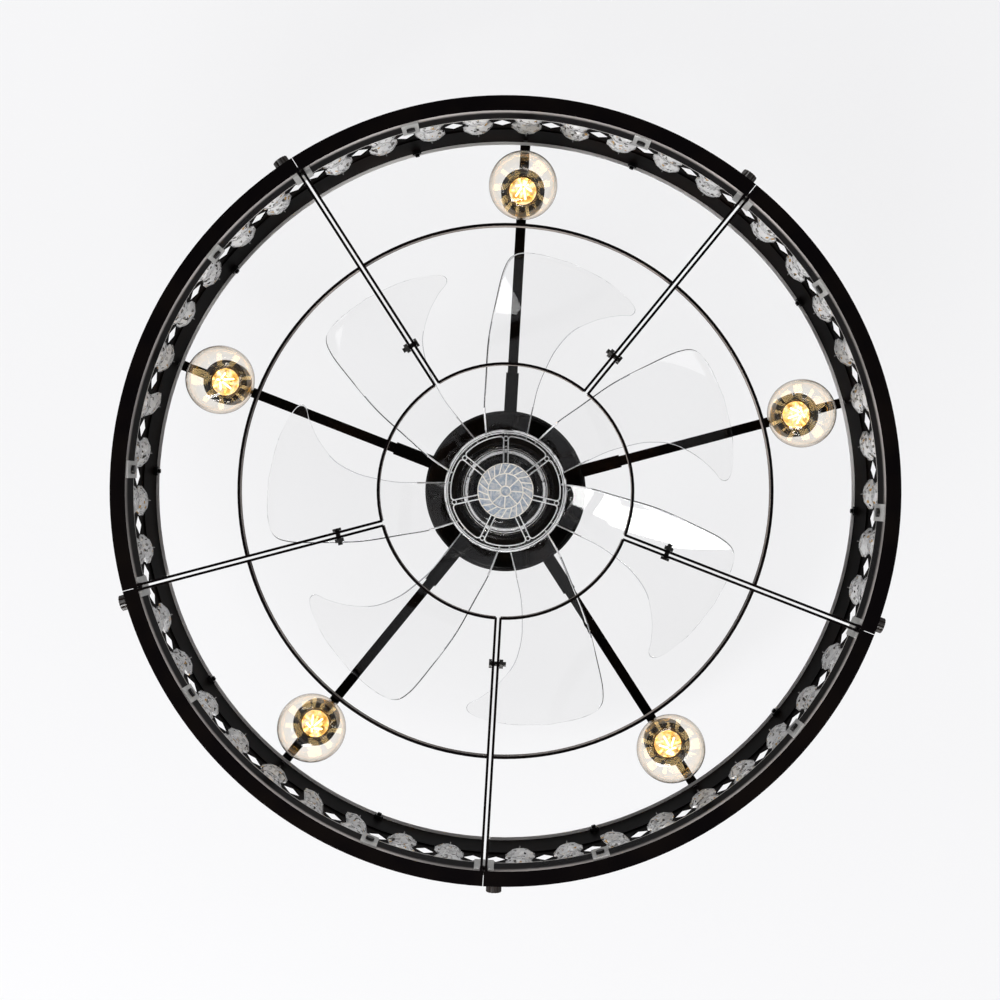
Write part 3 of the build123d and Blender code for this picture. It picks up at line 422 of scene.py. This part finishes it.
lamp_radius, bulb_level, globe_radius = 201, 40, 22.5
rise = np.radians(np.linspace(-90, 62, 40))
outer_wall = np.stack([globe_radius * np.cos(rise), bulb_level + globe_radius * np.sin(rise)], 1)
neck = np.array([[9.95, 60.6], [9.75, 61.6], [9.7, 63.6], [9.2, 65.2], [7.9, 66.4], [7.0, 66.65], [6.1, 66.2]])
inner_neck = np.array([[7.2, 65.6], [8.5, 64.7], [9.0, 63.3], [9.15, 61.5], [9.6, 60.2]])
inner_wall = np.stack([(globe_radius - 0.25) * np.cos(rise), bulb_level + (globe_radius - 0.25) * np.sin(rise)], 1)[::-1]
globe_profile = np.concatenate([outer_wall, neck, inner_neck, inner_wall])
globe_grid = turned_grid(globe_profile, 96, (0, lamp_radius))

# Screw base: radius r = 7 - 0.45 (1 - cos(2 pi (z / 2.82 + a / 2 pi))) / 2, the rolled thread
base_level = np.linspace(66.7, 86.8, 64)
base_angle = np.linspace(0, 2 * np.pi, 48, endpoint=False)
wave = 2 * np.pi * base_level[:, None] / 2.82 + base_angle[None, :]
fade = np.clip((base_level - 68.5) / 1.5, 0, 1)[:, None] * np.clip((85.5 - base_level) / 1.5, 0, 1)[:, None]
thread_radius = 6.95 - 0.45 * fade * (1 - np.cos(wave)) / 2
shell = np.stack([thread_radius * np.cos(base_angle), lamp_radius + thread_radius * np.sin(base_angle), np.repeat(base_level[:, None], 48, 1)], -1)
tip = turned_grid([(5.6, 88.0), (3.5, 90.0), (1.8, 90.6), (0, 90.65)], 48, (0, lamp_radius))
foot = turned_grid([(0, 66.9), (6.4, 66.8)], 48, (0, lamp_radius))
base_grid = np.concatenate([foot, shell, tip])

# Stem and filaments: sticks lean outwards from the stem's head like an opened umbrella
stem_profile = [(0, 46.5), (1.0, 46.8), (1.5, 48), (1.6, 53), (2.4, 58), (4.4, 62.5), (5.6, 64.6), (5.2, 65.2), (0, 65.3)]
stem_grid = turned_grid(stem_profile, 40, (0, lamp_radius))
collar_profile = [(0, 63.6), (3.0, 63.3), (6.0, 62.2), (8.2, 60.6), (8.95, 59.9), (9.1, 60.3), (8.7, 62.4), (6.8, 64.2), (0, 64.5)]
collar_grid = turned_grid(collar_profile, 56, (0, lamp_radius))


def stick(start, end, radius, sides=12):
    """Round bar with domed ends: circles along the line, their radius r sqrt(1 - e^2) at the ends."""
    start, end = np.asarray(start, float), np.asarray(end, float)
    line = (end - start) / np.linalg.norm(end - start)
    across = np.cross(line, [0.3, 0.5, 0.8])
    across /= np.linalg.norm(across)
    other = np.cross(line, across)
    bend = np.radians(np.array([-90, -60, -30, 0, 0, 30, 60, 90]))
    along = np.where(bend[:, None] * 0 + np.arange(8)[:, None] < 4, start, end) + radius * np.sin(bend)[:, None] * line
    a = np.linspace(0, 2 * np.pi, sides, endpoint=False)
    circle = np.cos(a)[:, None] * across + np.sin(a)[:, None] * other
    return along[:, None, :] + radius * np.cos(bend)[:, None, None] * circle[None]


amber_glass = clear("amber_blown_glass", "#fdfcf9", 1.32, 0.0)
tree = amber_glass.node_tree
rim = add(tree, "ShaderNodeLayerWeight", Blend=0.15)
tint = add(tree, "ShaderNodeMix", {"Factor": (rim, "Facing")}, data_type="RGBA")
tint.inputs[6].default_value = linear("#fdfcf9")
tint.inputs[7].default_value = linear("#f2dfc9")
tree.links.new(tint.outputs[2], tree.nodes["Principled BSDF"].inputs["Base Color"])
stem_glass = clear("stem_glass", "#ffffff", 1.5, 0.0)
rolled_brass = plated_steel("rolled_brass", "#f0b53c", 0.16, 0.8)
# Painted glow: the collar emits white, gold and dark patches of noise, painted glints standing in for the lit filaments
# mirrored in it.
gilt = plated_steel("gilt_reflector_painted_glow", "#ffdf9c", 0.14, 0.8)
tree = gilt.node_tree
place = add(tree, "ShaderNodeTexCoord")
glint_noise = add(tree, "ShaderNodeTexNoise", {"Vector": (place, "Object")}, Scale=1 / (5 * mm), Detail=2.0)
painted_glint_ramp = add(tree, "ShaderNodeValToRGB", {"Fac": (glint_noise, 0)})
painted_glint_ramp.color_ramp.elements[0].position, painted_glint_ramp.color_ramp.elements[0].color = 0.38, linear("#b07a2c")
painted_glint_ramp.color_ramp.elements[1].position, painted_glint_ramp.color_ramp.elements[1].color = 0.62, linear("#fff6dc")
painted_glint_ramp.color_ramp.elements.new(0.5).color = linear("#f6c878")
tree.links.new(painted_glint_ramp.outputs[0], tree.nodes["Principled BSDF"].inputs["Emission Color"])
tree.nodes["Principled BSDF"].inputs["Emission Strength"].default_value = 0.7
phosphor = bpy.data.materials.new("yellow_phosphor_silicone")
phosphor.use_nodes = True
phosphor.node_tree.nodes["Principled BSDF"].inputs["Base Color"].default_value = linear("#ffd98a")
phosphor.node_tree.nodes["Principled BSDF"].inputs["Roughness"].default_value = 0.45
phosphor.node_tree.nodes["Principled BSDF"].inputs["Emission Color"].default_value = linear("#ffdf9e")
phosphor.node_tree.nodes["Principled BSDF"].inputs["Emission Strength"].default_value = 7.0
for k in numbers:
    bay = 72 * (k - 1)
    globe_quads = grid_quads(len(globe_profile), 96)
    glass = piece(f"bulb_glass_{k}", [(placed(globe_grid, bay), globe_quads)], amber_glass, f"bulb_{k}", 60)
    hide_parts(f"bulb_globe_{k}")
    base = piece(f"bulb_cap_{k}", [(placed(base_grid, bay), grid_quads(len(base_grid), 48))], rolled_brass, f"bulb_{k}", 50)
    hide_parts(f"bulb_base_{k}")
    collar = piece(f"bulb_collar_{k}", [(placed(collar_grid, bay), grid_quads(len(collar_profile), 56))], gilt, f"bulb_{k}", 60)
    stem = piece(f"bulb_stem_{k}", [(placed(stem_grid, bay), grid_quads(len(stem_profile), 40))], stem_glass, f"bulb_{k}", 60)
    sticks = []
    for turn in range(5):
        a = math.radians(20 + 72 * turn + 13 * k)
        out = np.array([math.cos(a), math.sin(a), 0])
        middle = np.array([0, lamp_radius, 0])
        bar = stick(middle + 1.6 * out + [0, 0, 45], middle + 5.6 * out + [0, 0, 59.0], 0.55)
        sticks.append((placed(bar, bay), grid_quads(8, 12)))
    filament = piece(f"bulb_filament_{k}", sticks, phosphor, f"bulb_{k}", 60)

# Cut crystals: pressed and polished octagon beads, a table and two rows of facets on each side,
# strung on bent nickel wire that hooks over the band above them.
column_pitch, crystal_radius, crystal_levels = 7.6, 243.8, (57.5, 33.5)
turned_crystals = {(2, 2), (3, -2), (3, -1), (4, -1)}
corner = np.radians(22.5 + 45 * np.arange(8))
between = np.radians(45 * np.arange(8) + 45)


def facet_ring(radius, angle, depth):
    """Eight points on a circle of the bead's face, at a depth from its middle plane."""
    return np.stack([radius * np.cos(angle), np.full(8, depth), radius * np.sin(angle)], 1)


bead_points = []
for side in (-1, 1):
    bead_points += [facet_ring(5.4, corner, side * 4.0), facet_ring(7.7, between, side * 2.3), facet_ring(10.7, corner, side * 0.3)]
bead_points = np.concatenate(bead_points)
bead_faces = []
for side, first in ((-1, 0), (1, 24)):
    order = (lambda *c: c) if side < 0 else (lambda *c: c[::-1])
    bead_faces.append(order(*(first + np.arange(8))))
    for k in range(8):
        n = (k + 1) % 8
        table_k, table_n, mid, girdle_k, girdle_n = first + k, first + n, first + 8 + k, first + 16 + k, first + 16 + n
        bead_faces += [order(table_n, table_k, mid), order(table_k, girdle_k, mid), order(mid, girdle_n, table_n), order(girdle_k, girdle_n, mid)]
for k in range(8):
    n = (k + 1) % 8
    bead_faces.append((16 + k, 40 + k, 40 + n, 16 + n))
bead_turned = {}
for row, node in enumerate(("crystals_upper", "crystals_lower")):
    beads = []
    for bay in range(5):
        for column in range(-4, 5):
            sway = 7 * math.sin(bay * 1.7 + column * 2.3 + row)
            if row == 0 and (bay, column) in turned_crystals:
                sway = 24
            bead = placed(bead_points, sway) + [0, crystal_radius, crystal_levels[row]]
            beads.append((placed(bead, 72 * bay + column_pitch * column), bead_faces))
    made = piece(f"cut_{node}", beads, crystal, "frame", 1)
    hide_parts(node)


def wire(path, radius, sides=8):
    """Round wire along a path: circles square to the path's direction at each of its points."""
    path = np.asarray(path, float)
    along = np.gradient(path, axis=0)
    along /= np.linalg.norm(along, axis=1, keepdims=True)
    across = np.cross(along, [1.0, 0.0, 0.0])
    across /= np.linalg.norm(across, axis=1, keepdims=True)
    other = np.cross(along, across)
    a = np.linspace(0, 2 * np.pi, sides, endpoint=False)[None, :, None]
    tube = path[:, None, :] + radius * (np.cos(a) * across[:, None, :] + np.sin(a) * other[:, None, :])
    start, end = np.repeat(path[:1, None], sides, 1), np.repeat(path[-1:, None], sides, 1)
    return np.concatenate([start, tube, end])


hook_path = [(0, 247.6, 87.2), (0, 245.4, 87.3), (0, 244.2, 86.9), (0, 243.8, 85.8), (0, 243.8, 74), (0, 243.8, 70), (0, 243.5, 68.3), (0, 243.7, 67.8)]
link_path = [(0, 243.8, 47.3), (0, 243.8, 45.5), (0, 243.8, 43.8)]
hook_grid, link_grid = wire(hook_path, 0.42), wire(link_path, 0.42)
wires = []
for bay in range(5):
    for column in range(-4, 5):
        for grid in (hook_grid, link_grid):
            wires.append((placed(grid, 72 * bay + column_pitch * column), grid_quads(len(grid), 8)))
hooks = piece("crystal_wires", wires, wire_nickel, "frame", 60)
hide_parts("crystal_pins")

# Impeller: one injection moulding in clear styrene, seven dished blades on a ribbed cup that slides
# on the shaft and is driven by the cross pin. Mould edges are rounded and catch the light.
blade_tip, hub_low, hub_radius = 160, 56, 41
stations = np.array([
    (0.20, -0.050, 0.150, 41, 0.48),
    (0.45, 0.020, 0.160, 30, 0.46),
    (0.72, 0.070, 0.210, 22, 0.42),
    (1.04, 0.130, 0.330, 15, 0.40),
])
outline = np.array([
    (0.235, -21.0), (0.350, -15.5), (0.462, -11.0), (0.629, -7.1), (0.782, -3.6), (0.922, -0.9),
    (0.984, 1.8), (1.000, 7.0), (1.000, 15.0), (0.990, 24.0), (0.975, 31.0), (0.955, 34.9),
    (0.924, 35.2), (0.890, 32.4), (0.825, 27.7), (0.737, 22.6), (0.639, 19.4), (0.552, 18.0),
    (0.460, 17.2), (0.359, 18.4), (0.235, 22.0),
])


def smooth_line(points, count):
    """Catmull-Rom curve through points, read at even steps of its chord length."""
    points = np.asarray(points, float)
    ends = np.concatenate([2 * points[:1] - points[1:2], points, 2 * points[-1:] - points[-2:-1]])
    chord = np.concatenate([[0], np.cumsum(np.linalg.norm(np.diff(points, axis=0), axis=1))])
    where = np.linspace(0, chord[-1], count)
    span = np.clip(np.searchsorted(chord, where, side="right") - 1, 0, len(points) - 2)
    t = ((where - chord[span]) / (chord[span + 1] - chord[span]))[:, None]
    p0, p1, p2, p3 = ends[span], ends[span + 1], ends[span + 2], ends[span + 3]
    return 0.5 * (2 * p1 + (p2 - p0) * t + (2 * p0 - 5 * p1 + 4 * p2 - p3) * t ** 2 + (3 * p1 - 3 * p2 + p3 - p0) * t ** 3)


def blade_height(x, y, pitches=stations[:, 3]):
    """Height of the blade's middle surface: a pitched line across it with a parabola of camber."""
    lean = math.radians(12)
    along = (y * math.cos(lean) - x * math.sin(lean)) / blade_tip
    across = -(x * math.cos(lean) + y * math.sin(lean))
    middle, half, share = [np.interp(along, stations[:, 0], stations[:, c]) for c in (1, 2, 4)]
    pitch = np.interp(along, stations[:, 0], pitches)
    t = across - middle * blade_tip
    crown = 3 * (1 - np.clip(t / (half * blade_tip), -1.3, 1.3) ** 2)
    return hub_low + share * 28 + t * np.tan(np.radians(pitch)) + crown


angle = np.radians(90 + outline[:, 1])
edge_points = blade_tip * outline[:, :1] * np.stack([np.cos(angle), np.sin(angle)], 1)
rows, columns = 90, 28
leading = smooth_line(edge_points[:9], rows)
trailing = smooth_line(edge_points[8:][::-1], rows)
reach = np.linalg.norm(leading, axis=1)
share_across = (1 - np.cos(np.linspace(0, np.pi, columns))) / 2
plan = leading[:, None, :] * (1 - share_across)[None, :, None] + trailing[:, None, :] * share_across[None, :, None]
chord = np.linalg.norm(trailing - leading, axis=1)[:, None]
from_edge = np.minimum(share_across, 1 - share_across)[None, :] * chord
half_thick = 0.9 * np.sqrt(1 - (1 - np.clip(from_edge / 0.9, 0, 1)) ** 2)
height = blade_height(plan[..., 0], plan[..., 1])
lower = np.concatenate([plan, (height - half_thick)[..., None]], -1)
upper = np.concatenate([plan, (height + half_thick)[..., None]], -1)
blade_grid = np.concatenate([lower, upper[:, ::-1]], axis=1)


def rounded_bar(width, height, radius, length, count=5):
    """Bar along y from 0 to length, z from 0 to height: a rounded rectangle carried along, ends closed."""
    a = np.radians(np.linspace(0, 90, count))
    centre = np.array([(width / 2 - radius, height - radius), (radius - width / 2, height - radius), (radius - width / 2, radius), (width / 2 - radius, radius)])
    turn = a[None, :] + np.radians([0, 90, 180, 270])[:, None]
    loop = centre[:, None, :] + radius * np.stack([np.cos(turn), np.sin(turn)], -1)
    loop = loop.reshape(-1, 2)
    stops = np.array([0, 0, length, length])
    scale = np.array([0, 1, 1, 0])[:, None]
    x = loop[None, :, 0] * scale
    z = height / 2 + (loop[None, :, 1] - height / 2) * scale
    return np.stack([x, np.repeat(stops[:, None], len(loop), 1), z], -1)


blade_turn = -2.8
inner = hub_radius - 1.8
cup = [
    (4.1, 56.0), (39.6, 56.0), (40.6, 56.4), (41.0, 57.4), (41.0, 83.4), (40.6, 84.0), (39.6, 84.0), (39.2, 83.4),
    (39.2, 59.2), (38.8, 58.1), (37.7, 57.8), (29.4, 57.8), (29.0, 58.2), (28.9, 66.4), (28.6, 66.8), (27.4, 66.8),
    (27.1, 66.4), (27.0, 58.2), (26.6, 57.8), (8.3, 57.8), (7.7, 58.4), (7.5, 81.4), (7.1, 82.0), (4.6, 82.0), (4.1, 81.5),
]
moulding = [(turned_grid(cup, 160), grid_quads(len(cup), 160, wrap_rows=True))]


def bead(path, radius, sides=10):
    """Round bead along a closed level path: circles of its sideways normal and the vertical."""
    path = np.asarray(path, float)
    ahead = np.roll(path, -1, 0) - np.roll(path, 1, 0)
    normal = np.stack([ahead[:, 1], -ahead[:, 0], 0 * ahead[:, 0]], 1)
    normal /= np.linalg.norm(normal, axis=1, keepdims=True)
    a = np.linspace(0, 2 * np.pi, sides, endpoint=False)[None, :, None]
    grid = path[:, None, :] + radius * (np.cos(a) * normal[:, None, :] + np.sin(a) * np.array([0, 0, 1.0]))
    return grid, grid_quads(len(path), sides, wrap_rows=True), np.ones(len(path) * sides, bool)


def hoop(radius, level, thick, steps=160, centre=(0, 0)):
    """Round bead along a circle."""
    a = np.linspace(0, 2 * np.pi, steps, endpoint=False)
    return bead(np.stack([centre[0] + radius * np.cos(a), centre[1] + radius * np.sin(a), np.full(steps, level)], 1), thick)


def pocket(inner, outer, gap, corner, level, half_turn):
    """Outline between two ribs: an outer arc, a line beside each rib at the gap from its middle and
    an inner arc, joined by corner arcs that touch both, worked out for one half and mirrored."""
    middle = np.pi / 2 - half_turn
    x = gap + corner
    top = np.array([x, math.sqrt((outer - corner) ** 2 - x ** 2)])
    foot = np.array([x, math.sqrt((inner + corner) ** 2 - x ** 2)])
    top_way, foot_way = math.atan2(top[1], top[0]), math.atan2(foot[1], foot[0])

    def arc(centre, radius, start, end, count):
        a = np.linspace(start, end, count)
        return np.asarray(centre) + radius * np.stack([np.cos(a), np.sin(a)], 1)

    half = np.concatenate([
        arc((0, 0), outer, middle, top_way, 14)[:-1], arc(top, corner, top_way, np.pi, 8),
        arc(foot, corner, np.pi, foot_way + np.pi, 8), arc((0, 0), inner, foot_way, middle, 8)[1:],
    ])
    mirror = np.array([[math.cos(2 * middle), math.sin(2 * middle)], [math.sin(2 * middle), -math.cos(2 * middle)]])
    loop = np.concatenate([half, (half @ mirror)[::-1][1:-1]])
    return np.concatenate([loop, np.full((len(loop), 1), level)], 1)


# What the mould leaves on the hub's face: a rounded edge round each pocket, double rings, a star
# where the ring crosses a rib and an ejector mark at each rib's end. They take the white edge
# material, painted highlights for the light these edges catch.
rib = rounded_bar(2.4, 10.4, 0.6, 31.9) + [0, 7.4, 57.7]
pocket_line = pocket(15.5, 36.5, 1.5, 2.2, 56.2, math.pi / 7)
blade_quads = grid_quads(rows, 2 * columns)
edge_near = np.concatenate([from_edge, from_edge[:, ::-1]], 1)
edge_near = (edge_near[:-1] + np.roll(edge_near, -1, 1)[:-1]) / 2
near_hub = reach[:-1, None] < 57
# Blade edges take the white edge material near the hub, painted highlights, and the grey clear one further out, painted
# thin shade lines.
blade_edged = np.where(near_hub, (edge_near < 0.75) * 1, (edge_near < 0.5) * 2).reshape(-1)
for k in range(7):
    turn = 360 / 7 * k
    moulding.append((placed(rib, turn), grid_quads(4, 20)))
    moulding.append((placed(blade_grid, turn), blade_quads, blade_edged))
    details = [bead(pocket_line, 0.42), hoop(1.45, 56.15, 0.32, 20, (0, 35.0)), hoop(0.55, 56.15, 0.5, 16, (0, 26.8))]
    moulding += [(placed(grid, turn), quads, edged) for grid, quads, edged in details]
moulding += [hoop(39.9, 56.35, 0.40), hoop(38.7, 56.2, 0.30), hoop(27.8, 56.1, 0.2), hoop(25.8, 56.1, 0.2)]
moulding = [(placed(grid, blade_turn), *rest) for grid, *rest in moulding]
impeller = piece("moulded_impeller", moulding, styrene, "rotor", 40, (highlight_edge_styrene, shaded_edge))

# The blades' polish follows a flatter wave than their pitch near the hub, so each vertex on a
# blade's two faces gets the normal of that wave: (-dh/dx, -dh/dy, 1) by central differences.
count = len(impeller.data.vertices)
spots = np.empty(count * 3)
impeller.data.vertices.foreach_get("co", spots)
spots = spots.reshape(-1, 3) / mm - np.array([0, 0, rim_z / mm])
polish = np.zeros((count, 3))
calm = np.array([30.0, 23.0, 19.0, 15.0])
for k in range(7):
    local = placed(spots, -360 / 7 * k - blade_turn)
    x, y, z = local.T
    above = z - blade_height(x, y)
    on_blade = (np.abs(np.abs(above) - 0.9) < 0.02) & (np.hypot(x, y) > 41.5)
    on_blade &= (y * math.cos(math.radians(12)) - x * math.sin(math.radians(12)) > 20)
    slope = [(blade_height(x + dx, y + dy, calm) - blade_height(x - dx, y - dy, calm)) for dx, dy in ((0.5, 0), (0, 0.5))]
    normal = np.stack([-slope[0], -slope[1], np.ones(count)], 1)
    normal = normal / np.linalg.norm(normal, axis=1, keepdims=True) * np.sign(above)[:, None]
    polish[on_blade] = placed(normal, 360 / 7 * k + blade_turn)[on_blade]
impeller.data.normals_split_custom_set_from_vertices(polish.tolist())
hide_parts("fan_impeller")

# Spinner nut: frosted clear cap with straight ribs in its ring and slanted ribs round it, which
# screws on the shaft's left-hand thread and holds the impeller against the cross pin.
spinner = [
    (4.1, 40.65), (6.0, 40.65), (17.2, 40.65), (18.2, 41.0), (18.5, 42.0), (18.5, 55.2), (18.2, 55.65), (17.3, 55.65),
    (17.0, 55.2), (17.0, 42.6), (16.6, 42.2), (12.4, 42.15), (12.05, 42.5), (12.0, 55.2), (11.7, 55.6), (10.9, 55.6),
    (10.55, 55.2), (10.5, 42.5), (10.2, 42.15), (6.4, 42.15), (6.05, 42.5), (6.0, 55.2), (5.6, 55.6), (4.5, 55.6), (4.1, 55.2),
]
cap = [(turned_grid(spinner, 96), grid_quads(len(spinner), 96, wrap_rows=True))]
straight = rounded_bar(1.0, 13.4, 0.25, 7.6) + [0, 3.6, 40.55]
slanted = placed(rounded_bar(0.95, 13.4, 0.25, 7.2) - [0, 3.6, 0], 28) + [0, 14.6, 40.55]
every = np.ones(4 * 20 - 20, bool)
for k in range(8):
    cap.append((placed(straight, 45 * k), grid_quads(4, 20), every))
for k in range(22):
    cap.append((placed(slanted, 360 / 22 * k), grid_quads(4, 20), every))
cap += [hoop(18.1, 41.1, 0.38), hoop(11.5, 40.9, 0.5, 96), hoop(3.4, 40.9, 0.55, 40)]
cap.append((turned_grid([(0, 40.7), (4.3, 40.7), (4.5, 41.2), (4.3, 41.7), (0, 41.7)], 40), grid_quads(5, 40)))
made = piece("frosted_spinner", cap, frosted, "spinner", 40, (milky,))
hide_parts("spinner_nut")
